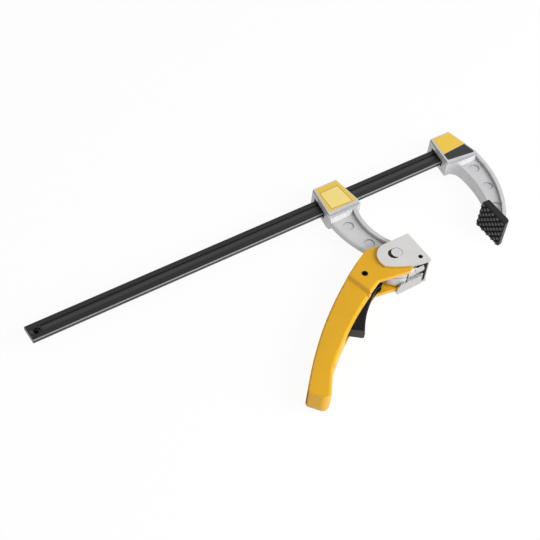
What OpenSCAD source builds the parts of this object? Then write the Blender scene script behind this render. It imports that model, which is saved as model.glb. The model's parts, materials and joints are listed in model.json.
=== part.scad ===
// Quick release bar clamp: a grooved flat bar with a fixed jaw, and a sliding jaw that carries a
// squeeze lever with a ratchet and a release trigger. The lever's cam lobes push the pressing head.
// Shapes are drawn in the bar's own frame (x from the free end, y across, z through the thickness)
// and placed() moves them to the part's frame, whose origin is the middle of the base.

/* [Bar] */
// Length of the bar
bar_length = 531; // [460:1:800]
// Width of the bar
bar_width = 20; // [17:0.5:23]
// Thickness of the bar
bar_thick = 5; // [4:0.25:6.5]
// Width of the groove in each broad side
groove_width = 9; // [5:0.5:12]
// Depth of the groove in each broad side
groove_depth = 0.8; // [0.3:0.1:1.2]
// Radius of the bar's long edges
bar_edge = 1; // [0.4:0.1:1.6]
// Diameter of the stop pin near the free end
stop_pin_d = 4; // [3:0.5:5]
// Distance from the free end to the stop pin
stop_pin_inset = 8; // [6:0.5:14]
// How far the stop pin stands out of the bar on each side
stop_pin_out = 2.5; // [1.5:0.5:4]

/* [Clamping] */
// Opening between the pressing head and the fixed pad as drawn
opening = 96.2; // [70:0.2:140]
// Distance from the bar's middle to the main pin
pin_reach = 101; // [95:1:110]
// Angle that the lever turns when it is squeezed
lever_turn = 38; // [30:1:40]
// How far a full squeeze pushes the pressing head
press_travel = 4; // [3:0.25:5]

/* [Jaw castings] */
// Thickness of both heads
head_thick = 21.6; // [19:0.2:26]
// Distance from the bar's middle to the top of the heads
head_up = 19.5; // [18:0.5:24]
// Distance from the bar's middle to the underside of the heads
head_down = 20.5; // [19:0.5:24]
// Radius of the heads' long edges
head_edge = 1.8; // [0.8:0.2:3]
// Radius of the heads' upright corners
head_corner = 3; // [1.5:0.5:4]
// Thickness of both arms over their rims
arm_thick = 16; // [14:0.5:18]
// Depth of the pocket in each side of an arm
pocket_depth = 4; // [2:0.5:5]
// Width of an arm's broad rim
rim_broad = 4; // [2.5:0.5:6]
// Width of an arm's narrow rim
rim_narrow = 1.8; // [1.4:0.2:3]
// Length of the slope from a head's face to the pocket floor
ramp_length = 4.5; // [3:0.5:10]
// Diameter of the round dimples in the pockets
dimple_d = 11.5; // [8:0.5:13]
// Depth of the round dimples
dimple_depth = 1.2; // [0.5:0.1:1.8]

/* [Fixed jaw] */
// Length of bar past the pad's clamping face
fixed_overhang = 41.2; // [38:0.2:44]
// Distance from the clamping face to the head's near top corner
fixed_head_start = 14.9; // [13:0.1:18]
// Width of the fixed head at its top
fixed_head_width = 27; // [25:0.5:32]
// How far the near side of the fixed head leans towards the pad
fixed_near_lean = 5.9; // [3:0.1:8]
// How far the outer side of the fixed head leans outwards
fixed_far_lean = 9.6; // [6:0.1:12]
// Radius of the fixed arm's outer edge
fixed_outer_r = 132; // [110:1:160]
// Radius of the fixed arm's throat edge
fixed_inner_r = 116.6; // [95:1:140]
// Diameter of the two pins that hold the bar
bar_pin_d = 5; // [3:0.5:6]
// Distance between the two pins that hold the bar
bar_pin_pitch = 14; // [10:0.5:18]

/* [Pads and labels] */
// Depth of the fixed pad
pad_depth = 10.2; // [8:0.2:14]
// Height of the fixed pad
pad_height = 36.7; // [30:0.5:42]
// Width of the fixed pad and of the pressing head
pad_width = 33.8; // [31:0.2:38]
// Distance between the grooves that cut the knobs
knob_pitch = 5.5; // [4:0.25:8]
// Depth of the grooves that cut the knobs
knob_depth = 1.7; // [0.8:0.1:2.4]
// Width of a knob groove at the face
knob_gap = 3.3; // [2:0.1:3.8]
// Thickness of the plates on the heads
label_thick = 0.6; // [0.4:0.1:1]
// Margin of a plate from the edges of its head
label_margin = 3; // [2:0.2:5]

/* [Sliding jaw] */
// Distance from the main pin back to the sliding head's near top corner
slide_head_back = 22.6; // [20:0.2:26]
// Width of the sliding head at its top
slide_head_width = 31.4; // [28:0.2:36]
// How far the near side of the sliding head leans out
slide_near_lean = 6.2; // [4:0.2:9]
// How far the far side of the sliding head leans out
slide_far_lean = 4.9; // [3:0.2:8]
// Radius of the sliding arm's back edge
slide_back_r = 124; // [105:1:150]
// Radius of the sliding arm's throat edge
slide_throat_r = 66.3; // [60:0.5:75]
// Width of the broad rim along the sliding arm's throat
slide_rim = 4.5; // [3.5:0.5:7]
// Radius of the hub round the main pin
hub_r = 24; // [22.5:0.5:24.5]
// Rounding of the sliding arm's back edge
soft_edge = 3; // [1:0.5:3.5]
// Diameter of the pins that grip the bar's edges
grip_pin_d = 5; // [4:0.5:6]
// Depth of the guides in the heads' mouths
guide_depth = 6; // [4:0.5:8]
// Wall of the guides in the heads' mouths
guide_wall = 1.5; // [1:0.1:2.2]

/* [Main pin and ratchet] */
// Diameter of the main pin
main_pin_d = 12; // [10:0.5:13]
// Thickness of the washers beside the hub
washer_thick = 0.8; // [0.5:0.1:1]
// Diameter of the washers beside the hub
washer_d = 22; // [18:1:26]
// Radius over the tips of the ratchet teeth
ratchet_r = 31; // [30:0.25:32]
// Depth of the ratchet teeth
tooth_depth = 2.6; // [1.5:0.1:3.5]
// Angle from one ratchet tooth to the next
tooth_step = 4; // [3:0.5:6]
// Thickness of the ratchet sector and of the pawl
ratchet_thick = 5; // [3:0.5:6]
// Diameter of the rivets of the sector and the pawl
rivet_d = 3.5; // [2.5:0.5:4]

/* [Lever] */
// Thickness of the lever over its ears
lever_width = 28; // [26:0.5:28.4]
// Thickness of the lever over its grip
grip_width = 24.6; // [22:0.2:26]
// Width of the channel in the lever
channel_width = 19; // [18:0.2:19.6]
// Thickness of the lever's back wall
back_wall = 5; // [3:0.25:6]
// Length of the handle from the ears to its end
handle_length = 179.4; // [160:1:210]
// Depth of the handle at its root
root_depth = 32.1; // [30:0.1:34]
// Depth of the flared end of the handle
end_depth = 25; // [22:0.5:27]
// Radius of the handle's back
handle_back_r = 463.5; // [400:1:600]
// Radius of the handle's underside
handle_under_r = 422; // [380:1:560]
// Length of the channel in the handle
channel_length = 100; // [96:1:150]
// Rounding of the grip's underside edges
grip_round = 3.5; // [2:0.5:6]
// Rounding of the lever's back edges
back_round = 2; // [1:0.25:3]
// Rounding of the back corner of the handle's end
end_round = 4; // [3:0.5:6]
// Rounding of the flared corner of the handle's end
flare_round = 9; // [6:0.5:11]
// Rounding of the end's edges
end_edge = 2; // [1:0.25:3]
// Length of the slope between the ears and the grip
step_length = 6; // [5:0.5:9]

/* [Trigger] */
// Diameter of the trigger pin
trigger_pin_d = 7; // [5:0.5:7.5]
// Width of the trigger's knuckle
trigger_width = 17.6; // [15:0.2:18]
// Width of the trigger's finger lever
finger_width = 10.4; // [9:0.2:13]
// Radius of the trigger's finger side
finger_r = 140; // [110:1:200]
// Rounding of the trigger's finger side
finger_round = 2.5; // [1:0.25:3.5]
// Wire of the trigger spring
spring_wire = 1.2; // [0.8:0.1:1.4]

/* [Pressing head] */
// Thickness of the pressing head's steel
plate_thick = 2.5; // [2:0.25:3]
// Depth of the pressure block
block_depth = 11.3; // [8:0.1:13]
// Thickness of the black shoe round the block
shoe_thick = 3.3; // [2.4:0.1:3.4]
// Diameter of the roll pin through the pressing head
head_pin_d = 5; // [3:0.5:6]
// Outer diameter of the return spring
return_spring_d = 6; // [4.5:0.25:6.5]
// Wire of the return spring
return_wire = 0.9; // [0.6:0.1:1.1]

/* [Clearances] */
// Clearance of moving pieces that pass each other
pass_gap = 0.3; // [0.2:0.05:0.6]
// Radial clearance of pins that turn
run_gap = 0.05; // [0.02:0.01:0.1]
// Clearance of pieces pressed together
press_gap = 0.02; // [0:0.01:0.05]

/* [Hidden] */

$fn = 48;
cut = 1;                             // how far a cutter runs past what it cuts
far = 300;                           // larger than anything it trims

// A circle's centre from two points on it. side is 1 or -1: left or right of the way from a to b.
function centre_of(a, b, r, side) =
    let (d = norm(b - a), n = [a[1] - b[1], b[0] - a[0]] / d)
    (a + b) / 2 + side * n * sqrt(r * r - d * d / 4);
// The fillet below a flat underside that starts at a corner and runs into a circle.
function fillet_of(corner, c, r) =
    let (dx = corner[0] - c[0], dy = corner[1] - c[1])
    (r * r - dx * dx - dy * dy) / (2 * (r - dy));
function towards(a, b) = (b - a) / norm(b - a);
function soft_dir(y) = 180 - asin((y - slide_back_c[1]) / slide_back_r);
function polar(r, a) = [r * cos(a), r * sin(a)];
// The centre of the arc that rounds the corner at p between a and b.
function arc_centre(a, p, b, r) =
    let (u = towards(p, a), v = towards(p, b))
    p + (u + v) / norm(u + v) * r / sin(acos(u * v) / 2);

// Places along the bar
fixed_face = bar_length - fixed_overhang;        // clamping face of the fixed pad
pad_back = fixed_face + pad_depth;
press_face = fixed_face - opening;               // clamping face of the pressing head
bar_half = bar_width / 2;
head_half = head_thick / 2;
arm_half = arm_thick / 2;
pocket_floor = arm_half - pocket_depth;
web_front = press_face;
pad_half = pad_width / 2;

// Pressing head, measured from the main pin
block_back = 9;                                  // from the pin to the back of the block
block_front = block_back + block_depth;
shoe_front = block_front + shoe_thick + 0.2;
press_front = shoe_front + pass_gap + plate_thick;
pin_x = web_front - press_front;
pin = [pin_x, -pin_reach];
plate_inner = pad_half - plate_thick;
shoe_half = plate_inner - pass_gap;
block_half = shoe_half - shoe_thick - pass_gap;
head_top_y = 15.5;                               // top of the pressing head above the pin
pad_drop = 11.3;                                 // pad's top edge below the main pin's height

// Cam lobe of the lever's ears
lobe_mid = 90;                                   // direction of the lobe half way through the squeeze
lobe_off = press_travel / (2 * sin(lever_turn / 2));
boss_r = block_back - pass_gap;
lobe_dir = lobe_mid + lever_turn / 2;
lobe = polar(lobe_off, lobe_dir);
lobe_r = boss_r - lobe[0];

// Hub of the sliding arm
hub_flat = 8.2;                                  // from the pin to the hub's flat
hub_rise = 16;                                   // from the pin up to the shoulder above the flat
hub_notch = [-2.5, -17.5];                       // the block's nose reaches into the hub here
rim_line = 0.8;                                  // width and depth of the line round the hub
rim_line_at = 3.1;
ear_inner = channel_width / 2;
ear_half = lever_width / 2;
washer_gap = 0.1;
hub_boss_half = ear_inner - washer_thick - 2 * washer_gap;

// Fixed jaw outline
fixed_skirt = 4;                                 // the outer corner lies this much lower
fixed_head = [
    [fixed_face + fixed_head_start, head_up],
    [fixed_face + fixed_head_start + fixed_head_width, head_up],
    [fixed_face + fixed_head_start + fixed_head_width + fixed_far_lean, -head_down - fixed_skirt],
    [fixed_face + fixed_head_start - fixed_near_lean, -head_down]
];
arm_end_low = [pad_back, -pin_reach - 19.4];
arm_end_high = [pad_back, -pin_reach + 7.2];
throat_point = [fixed_face + 22, -38];
fixed_outer_c = centre_of(fixed_head[2], arm_end_low, fixed_outer_r, -1);
fixed_inner_c = centre_of(throat_point, arm_end_high, fixed_inner_r, -1);
fixed_fillet = fillet_of(fixed_head[3], fixed_inner_c, fixed_inner_r);
tenon_half = 6;
tenon_depth = 6;

// Sliding jaw outline
slide_head = [
    [pin_x - slide_head_back, head_up],
    [pin_x - slide_head_back + slide_head_width, head_up],
    [pin_x - slide_head_back + slide_head_width + slide_far_lean, -head_down],
    [pin_x - slide_head_back - slide_near_lean, -head_down]
];
slide_back_end = pin + [-20.8, 30.7];
slide_throat_top = [pin_x + 2, -40];
slide_throat_end = pin + [10.2, 21.3];
slide_back_c = centre_of(slide_head[3], slide_back_end, slide_back_r, 1);
slide_throat_c = centre_of(slide_throat_top, slide_throat_end, slide_throat_r, 1);
slide_fillet = fillet_of(slide_head[2], slide_throat_c, slide_throat_r);
slot_half_y = bar_half + 0.5;
slot_half_z = bar_thick / 2 + 0.5;
grip_off = bar_half + grip_pin_d / 2 + pass_gap;
grip_rear = [pin_x - 16.5, -grip_off];
grip_front = [pin_x - 1, grip_off];

// Lever, measured from the main pin
back_start = [-35.1, 15.5];
handle_lean = 218.03;                            // direction of the handle's chord
back_end = back_start + polar(handle_length, handle_lean);
end_dir = 218.4;                                 // direction that the end face looks
under_start = back_start + polar(root_depth, handle_lean + 75.6);
neck = [-140.5, -86.6];                          // the flare starts here on the underside
end_low = back_end + polar(end_depth, end_dir + 90);
back_c = centre_of(back_start, back_end, handle_back_r, 1);
under_c = centre_of(under_start, neck, handle_under_r, 1);
ear_low_dir = 170.8;                             // direction of the ear's lower edge from its tip
ear_tip = [-0.5, -25.1];
ear_nose = [boss_r - 0.2, -19.8];
ear_top = [-25.5, 19.6];
grip_half = grip_width / 2;
throat_r = 40;                                   // the channel's web starts outside this radius
step_dir = 194;
step_start = [-58.6, 1.2];
ear_join = -24;                                  // the handle's body runs this far into the ears
trigger_at = [-44.2, -4.9];
trigger_half = trigger_width / 2;
grip_channel = finger_width / 2 + 0.6;           // half the channel's width in the grip

// Trigger, measured from the main pin
knuckle_r = 7.2;
finger_top = [-42.9, -23.5];
finger_end = [-82.9, -61.2];
finger_c = centre_of(finger_top, finger_end, finger_r, 1);
trigger_tip = [-94.6, -51.3];
trigger_inner = [-98.6, -46.6];
toe = [[-36.4, -21.2], [-33, -21], [-30, -19], [-33.5, -8]];
finger_half = finger_width / 2;
pawl_r = ratchet_r + pass_gap;
pawl_dir = 206;
pawl_back = -41.2;
pawl_top = -10.8;
pawl_low = -18.4;
pawl_rivet_at = [-37.4, -14.6];
spring_level = 3.4;                              // the trigger's knuckle ends here on the spring's side
coil_r = trigger_pin_d / 2 + 0.35 + spring_wire / 2;

// Ratchet sector
sector_from = pawl_dir - lever_turn - 10;
sector_to = pawl_dir + 10;
teeth = floor((lever_turn + 12) / tooth_step);
sector_inner = 14.5;
sector_half = ratchet_thick / 2;
sector_rivets = [polar(19.5, sector_from + 12), polar(19.5, sector_to - 14)];

// The rounded part of the sliding arm's back, as directions from its centre
soft_from = soft_dir(-head_down - ramp_length - 2);
soft_to = soft_dir(pin[1] + hub_rise + 3);

// Head pin
head_pin_at = [18, -16.7];

// Return spring, beside the main pin
spring_y = -13.5;
spring_from = -8.2;
spring_to = head_pin_at[0] - 3.6;
anchor_d = 2;
hub_bore_end = spring_from - anchor_d - 0.4;

// Nose, step and lip at the underside of the pressing head
nose_mid = -16.8;                                // height of the nose's middle
nose_r = 7.2;
nose_from = 0;                                   // the nose starts here, beside the hub
step_low = -24;
step_high = -15;
step_top = -4;                                   // level of the step's top
lip_thick = 1.7;
lip_from = -12.5;
lip_to = 18;
lip_top = -3.5;
lip_face = -hub_r - pass_gap - lip_thick;

// The frame's origin: middle of the box, on the surface that the clamp lies on
low_y = pin[1] + arc_centre(back_end, end_low, neck, flare_round)[1] - flare_round;
high_x = fixed_outer_c[0] + fixed_outer_r;
origin = [high_x / 2, (head_up + low_y) / 2, -pad_half];

// ---------------------------------------------------------------- helpers

module placed() translate(-origin) children();

module at_pin() translate([pin[0], pin[1], 0]) children();

// A flat shape made as thick as 2 * half, about z = 0.
module slab(half) translate([0, 0, -half]) linear_extrude(2 * half) children();

// Both faces of something drawn on the upper one.
module both_sides() {
    children();
    mirror([0, 0, 1]) children();
}

module rect(low, high) translate(low) square(high - low);

// The sliver between a corner at p and the arc of radius r that rounds or fills it.
module corner(a, p, b, r) {
    u = towards(p, a);
    v = towards(p, b);
    half = acos(u * v) / 2;
    centre = arc_centre(a, p, b, r);
    difference() {
        polygon([p + (p - centre) * 0.1, p + u * r / tan(half), centre, p + v * r / tan(half)]);
        translate(centre) circle(r, $fn = 96);
    }
}

// A polygon whose corners are true arcs.
module rounded(points, r) {
    n = len(points);
    difference() {
        polygon(points);
        for (i = [0 : n - 1]) corner(points[(i + n - 1) % n], points[i], points[(i + 1) % n], r);
    }
}

// Waste that rounds the edge from a to b of a body whose top is at z; the body is right of the way.
module edge_waste(a, b, z, r) {
    d = b - a;
    translate([a[0], a[1], z]) rotate([0, 0, atan2(d[1], d[0])]) rotate([90, 0, 90])
        translate([0, 0, -cut]) linear_extrude(norm(d) + 2 * cut)
        difference() {
            translate([-r, -r]) square(r + cut);
            translate([-r, -r]) circle(r, $fn = 48);
        }
}

// A head block with round corners and round top and bottom edges.
module head_block(points) {
    n = len(points);
    difference() {
        slab(head_half) rounded(points, head_corner);
        both_sides()
            for (i = [0 : n - 1]) edge_waste(points[(i + 1) % n], points[i], head_half, head_edge);
    }
}

// A prism across the direction dir: its profile is drawn in (distance along dir, z).
module across(from, dir, profile) {
    translate([from[0], from[1], 0]) rotate([0, 0, dir]) rotate([90, 0, 0])
        linear_extrude(far, center = true) polygon(profile);
}

// The concave fillet under a head: side is 1 when the arm lies on its +x side.
module under_fillet(start, c, r, fillet, side) {
    centre = start - [0, fillet];
    touch = c + towards(c, centre) * r;
    difference() {
        polygon([
            centre, start, start + [0, cut],
            [touch[0] + side * cut, start[1] + cut], [touch[0] + side * cut, touch[1]], touch
        ]);
        translate(centre) circle(fillet, $fn = 96);
    }
}

module bar_section(grow) rect([-bar_half - grow, -bar_thick / 2 - grow], [bar_half + grow, bar_thick / 2 + grow]);

// Runs a section drawn in (y, z) along x.
module run_x(from, to) translate([from, 0, 0]) rotate([90, 0, 90]) linear_extrude(to - from) children();

module label_shape(points) rounded(inset_quad(points, label_margin), 2);

function inset_quad(p, m) = [
    p[0] + [m * 0.8, -m], p[1] + [-m * 0.4, -m], p[2] + [-m * 1.2, m * 1.2], p[3] + [m * 1.2, m * 1.2]
];

// A closed coil: a tube of radius wire / 2 swept along a helix about the z axis.
module coil(mean_r, wire, turns, length, steps = 12, sides = 6) {
    n = floor(turns * steps);
    ring = [for (i = [0 : n]) let (a = 360 * i / steps, z = length * i / n)
        for (k = [0 : sides - 1]) let (b = 360 * k / sides, r = mean_r + wire / 2 * cos(b))
            [r * cos(a), r * sin(a), z + wire / 2 * sin(b)]];
    side = [for (i = [0 : n - 1]) for (k = [0 : sides - 1])
        let (j = (k + 1) % sides, p = i * sides, q = p + sides)
            [p + k, p + j, q + j, q + k]];
    first = [[for (k = [sides - 1 : -1 : 0]) k]];
    last = [[for (k = [0 : sides - 1]) n * sides + k]];
    polyhedron(ring, concat(first, side, last));
}

// ---------------------------------------------------------------- rail

module bar() color("#38383a") placed()
    difference() {
        run_x(0, bar_length) difference() {
            rounded([
                [-bar_half, -bar_thick / 2], [bar_half, -bar_thick / 2],
                [bar_half, bar_thick / 2], [-bar_half, bar_thick / 2]
            ], bar_edge);
            for (side = [-1, 1])
                rounded([
                    [-groove_width / 2, side * (bar_thick / 2 - groove_depth)],
                    [groove_width / 2, side * (bar_thick / 2 - groove_depth)],
                    [groove_width / 2 + groove_depth, side * (bar_thick / 2 + cut)],
                    [-groove_width / 2 - groove_depth, side * (bar_thick / 2 + cut)]
                ], 0.3);
        }
        translate([stop_pin_inset, 0, -far / 2]) cylinder(d = stop_pin_d + 2 * press_gap, h = far);
        bar_pin_holes(press_gap);
    }

module bar_stop_pin() color("#5a5a5c") placed()
    translate([stop_pin_inset, 0, 0]) pin_with_bevels(stop_pin_d / 2, bar_thick / 2 + stop_pin_out, 0.5);

// A straight pin with bevelled ends.
module pin_with_bevels(r, half, bevel)
    rotate_extrude() polygon([
        [0, -half], [r - bevel, -half], [r, -half + bevel], [r, half - bevel], [r - bevel, half], [0, half]
    ]);

module bar_pin_holes(gap)
    for (side = [-1, 1])
        translate([fixed_pin_mid() + side * bar_pin_pitch / 2, 0, -far / 2])
            cylinder(d = bar_pin_d + 2 * gap, h = far);

function fixed_pin_mid() = fixed_face + fixed_head_start + fixed_head_width / 2 - 0.5;

// ---------------------------------------------------------------- fixed jaw

module fixed_arm_shape() {
    intersection() {
        difference() {
            translate(fixed_outer_c) circle(fixed_outer_r, $fn = 360);
            translate(fixed_inner_c) circle(fixed_inner_r, $fn = 360);
        }
        rect([pad_back, -pin_reach - 60], [pad_back + 80, -head_down + cut]);
    }
    intersection() {
        under_fillet(fixed_head[3], fixed_inner_c, fixed_inner_r, fixed_fillet, 1);
        rect([fixed_head[3][0], -far], [far * 3, -head_down + cut]);
    }
}

module fixed_pocket_shape()
    intersection() {
        difference() {
            translate(fixed_outer_c) circle(fixed_outer_r - rim_broad, $fn = 360);
            translate(fixed_inner_c) circle(fixed_inner_r + rim_narrow, $fn = 360);
        }
        rect([pad_back + rim_narrow, -pin_reach - 60], [pad_back + 80, -head_down]);
    }

module pocket_ramp()
    translate([0, -head_down, 0]) rotate([90, 0, 90]) linear_extrude(bar_length + far)
        polygon([
            [cut, pocket_floor - cut], [-ramp_length - 2, pocket_floor - cut], [-ramp_length - 2, pocket_floor],
            [-2, arm_half + 2], [cut, arm_half + 2]
        ]);

module arm_pockets() {
    both_sides() difference() {
        translate([0, 0, pocket_floor]) linear_extrude(pocket_depth + cut) children();
        pocket_ramp();
    }
}

module dimples(points)
    both_sides()
        for (p = points)
            translate([p[0], p[1], pocket_floor - dimple_depth]) cylinder(d = dimple_d, h = far);

function fixed_mid(y) = let (
    outer = fixed_outer_c[0] + sqrt(fixed_outer_r * fixed_outer_r - pow(y - fixed_outer_c[1], 2)),
    inner = fixed_inner_c[0] + sqrt(fixed_inner_r * fixed_inner_r - pow(y - fixed_inner_c[1], 2))
) [(outer + inner) / 2, y];

module fixed_jaw() color("#c8c8cb") placed()
    difference() {
        union() {
            head_block(fixed_head);
            difference() {
                slab(arm_half) fixed_arm_shape();
                arm_pockets() fixed_pocket_shape();
                dimples([
                    fixed_mid(-head_down - 16), fixed_mid((-head_down - 16 - pin_reach + 7) / 2),
                    fixed_mid(-pin_reach + 8)
                ]);
            }
            translate([pad_back - tenon_depth, arm_end_low[1] + 5, -tenon_half])
                cube([tenon_depth + rim_narrow, arm_end_high[1] - arm_end_low[1] - 10, 2 * tenon_half]);
        }
        run_x(-far, bar_length + press_gap) bar_section(press_gap);
        run_x(-far, fixed_head[3][0] + guide_reach()) bar_section(guide_wall + press_gap);
        bar_pin_holes(press_gap);
        label_recess(fixed_head);
    }

// The guides start inside the leaning side of a head.
function guide_reach() = guide_depth + fixed_near_lean / 2;

module label_recess(points)
    translate([0, 0, head_half - label_thick + 0.1]) linear_extrude(far) offset_label(points);

module offset_label(points) rounded(inset_quad(points, label_margin - 0.1), 2);

module fixed_jaw_pins() color("#9a9a9c") placed()
    for (side = [-1, 1])
        translate([fixed_pin_mid() + side * bar_pin_pitch / 2, 0, -label_thick / 2])
            pin_with_bevels(bar_pin_d / 2, head_half - label_thick, 0.4);

module mouth_ring(from, to, gap)
    difference() {
        run_x(from, to) bar_section(guide_wall);
        run_x(from - cut, to + cut) bar_section(gap);
    }

module fixed_mouth_liner() color("#262628") placed()
    intersection() {
        mouth_ring(fixed_head[3][0] - cut, fixed_head[3][0] + guide_reach(), press_gap);
        slab(head_half) polygon(fixed_head);
    }

module fixed_label() color("#f0cd50") placed()
    translate([0, 0, head_half - label_thick + 0.1]) linear_extrude(label_thick) label_shape(fixed_head);

module fixed_pad() color("#2d2d30") placed() {
    mid = [fixed_face, -pin_reach + pad_drop - pad_height / 2];
    span = (pad_height + pad_width) / sqrt(2);
    count = ceil(span / knob_pitch / 2);
    difference() {
        slab(pad_half) rounded_pad(mid);
        for (turn = [-45, 45])
            translate([mid[0], mid[1], 0]) rotate([turn, 0, 0])
                for (k = [-count : count])
                    translate([0, (k + 0.5) * knob_pitch, 0]) linear_extrude(far, center = true)
                        polygon([[-cut, -knob_gap], [-cut, knob_gap], [0, knob_gap / 2], [knob_depth, 0],
                            [0, -knob_gap / 2]]);
        translate([pad_back - tenon_depth - pass_gap, arm_end_low[1] + 5 - 0.1, -tenon_half - 0.1])
            cube([tenon_depth + cut + pass_gap, arm_end_high[1] - arm_end_low[1] - 10 + 0.2, 2 * tenon_half + 0.2]);
    }
}

// The pad seen along z: square at the front, round at the back.
module rounded_pad(mid) {
    low = mid[1] - pad_height / 2;
    high = mid[1] + pad_height / 2;
    difference() {
        polygon([[mid[0], low], [pad_back, low], [pad_back, high], [mid[0], high]]);
        corner([mid[0], low], [pad_back, low], [pad_back, high], 6);
        corner([pad_back, low], [pad_back, high], [mid[0], high], 1.5);
    }
}

// ---------------------------------------------------------------- sliding jaw

module slide_arm_shape() {
    difference() {
        union() {
            intersection() {
                translate(slide_back_c) circle(slide_back_r, $fn = 360);
                rect([pin_x - 60, pin[1] + hub_rise], [pin_x + 15, -head_down + cut]);
            }
            intersection() {
                translate(pin) circle(hub_r, $fn = 180);
                rect(pin - [hub_r + cut, hub_r + cut], pin + [hub_flat, hub_r + cut]);
            }
            // the web between the arm's back edge and the hub
            intersection() {
                translate(slide_back_c) circle(slide_back_r, $fn = 360);
                rect([pin_x - hub_r, pin[1]], [pin_x + hub_flat, slide_back_end[1]]);
            }
        }
        translate(slide_throat_c) circle(slide_throat_r, $fn = 360);
        translate(pin) rect([hub_notch[0], -far], [far, hub_notch[1]]);
    }
    intersection() {
        under_fillet(slide_head[2], slide_throat_c, slide_throat_r, slide_fillet, -1);
        rect([0, -far], [slide_head[2][0], -head_down + cut]);
    }
}

module slide_pocket_shape()
    difference() {
        intersection() {
            translate(slide_back_c) circle(slide_back_r + cut, $fn = 360);
            rect([pin_x - 60, pin[1] + hub_rise + 3], [pin_x + 15, -head_down]);
        }
        translate(slide_throat_c) circle(slide_throat_r + slide_rim, $fn = 360);
    }

function slide_mid(y) = let (
    back = slide_back_c[0] - sqrt(slide_back_r * slide_back_r - pow(y - slide_back_c[1], 2)) + rim_narrow,
    throat = slide_throat_c[0] - sqrt(pow(slide_throat_r + slide_rim, 2) - pow(y - slide_throat_c[1], 2))
) [(back + throat) / 2, y];

// Waste that rounds the pocket floor's outer edge along the arm's back.
module soft_back_waste()
    both_sides() translate([slide_back_c[0], slide_back_c[1], 0]) rotate([0, 0, soft_from])
        rotate_extrude(angle = soft_to - soft_from, $fn = 360) difference() {
            translate([slide_back_r - soft_edge, pocket_floor - soft_edge]) square(soft_edge + cut);
            translate([slide_back_r - soft_edge, pocket_floor - soft_edge]) circle(soft_edge, $fn = 64);
        }

// A fine line round the hub, on its free side.
module rim_line_waste()
    rotate([0, 0, 176]) rotate_extrude(angle = 130, $fn = 180)
        rect([hub_r - rim_line, rim_line_at], [hub_r + cut, rim_line_at + rim_line]);

module sliding_jaw() color("#c8c8cb") placed()
    difference() {
        union() {
            head_block(slide_head);
            difference() {
                slab(arm_half) slide_arm_shape();
                arm_pockets() slide_pocket_shape();
                soft_back_waste();
                dimples([slide_mid(-head_down - 18), slide_mid(-pin_reach + 32)]);
            }
            at_pin() slab(hub_boss_half) intersection() {
                circle(d = washer_d - 4, $fn = 96);
                rect([-washer_d, -washer_d], [hub_flat, washer_d]);
            }
        }
        run_x(-far, far * 3) rect([-slot_half_y, -slot_half_z], [slot_half_y, slot_half_z]);
        run_x(-far, slide_head[3][0] + rear_reach()) bar_section(guide_wall + press_gap + pass_gap);
        run_x(slide_head[2][0] - front_reach(), far * 3) bar_section(guide_wall + press_gap + pass_gap);
        for (p = [grip_rear, grip_front])
            translate([p[0], p[1], -far / 2]) cylinder(d = grip_pin_d + 2 * press_gap, h = far);
        label_recess(slide_head);
        at_pin() {
            rim_line_waste();
            translate([0, 0, -far / 2]) cylinder(d = main_pin_d + 2 * press_gap, h = far);
            slab(sector_half + press_gap) sector_plate(sector_inner - press_gap, hub_r + cut, 1);
            for (p = sector_rivets)
                translate([p[0], p[1], -arm_half - cut]) cylinder(d = rivet_d + 2 * press_gap, h = arm_thick + 2 * cut);
            translate([hub_bore_end, spring_y, 0]) rotate([0, 90, 0])
                cylinder(d = return_spring_d + 2 * pass_gap, h = far);
            translate([spring_from - anchor_d / 2 - 0.2, spring_y, -arm_half - cut])
                cylinder(d = anchor_d + 2 * press_gap, h = arm_thick + 2 * cut);
        }
    }

function rear_reach() = guide_depth + slide_near_lean / 2;
function front_reach() = guide_depth + slide_far_lean / 2;

module slide_guide(from, to)
    intersection() {
        difference() {
            run_x(from, to) bar_section(guide_wall + pass_gap);
            run_x(from - cut, to + cut) bar_section(pass_gap);
        }
        slab(head_half) polygon(slide_head);
    }

module rear_guide() color("#262628") placed()
    slide_guide(slide_head[3][0] - cut, slide_head[3][0] + rear_reach());

module front_guide() color("#262628") placed()
    slide_guide(slide_head[2][0] - front_reach(), slide_head[2][0] + cut);

module sliding_label() color("#f0cd50") placed()
    translate([0, 0, head_half - label_thick + 0.1]) linear_extrude(label_thick) label_shape(slide_head);

module grip_pins() color("#8a8a8e") placed()
    for (p = [grip_rear, grip_front])
        translate([p[0], p[1], -label_thick / 2]) pin_with_bevels(grip_pin_d / 2, head_half - label_thick, 0.4);

module main_pin() color("#c4c4c6") placed()
    at_pin() pin_with_bevels(main_pin_d / 2, pad_half - 0.2, 0.6);

module pivot_washers() color("#b0b0b2") placed()
    at_pin() both_sides() translate([0, 0, hub_boss_half + washer_gap]) difference() {
        linear_extrude(washer_thick) intersection() {
            circle(d = washer_d, $fn = 96);
            rect([-washer_d, -washer_d], [hub_flat, washer_d]);
        }
        translate([0, 0, -cut]) cylinder(d = main_pin_d + 2 * run_gap, h = washer_thick + 2 * cut);
    }

// The sector's body, between two radii.
module sector_plate(inner, outer, spread)
    difference() {
        intersection() {
            circle(outer, $fn = 180);
            polygon([
                [0, 0], polar(far, sector_from - spread), polar(far, (sector_from + sector_to) / 2),
                polar(far, sector_to + spread)
            ]);
        }
        circle(inner, $fn = 96);
    }

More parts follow.
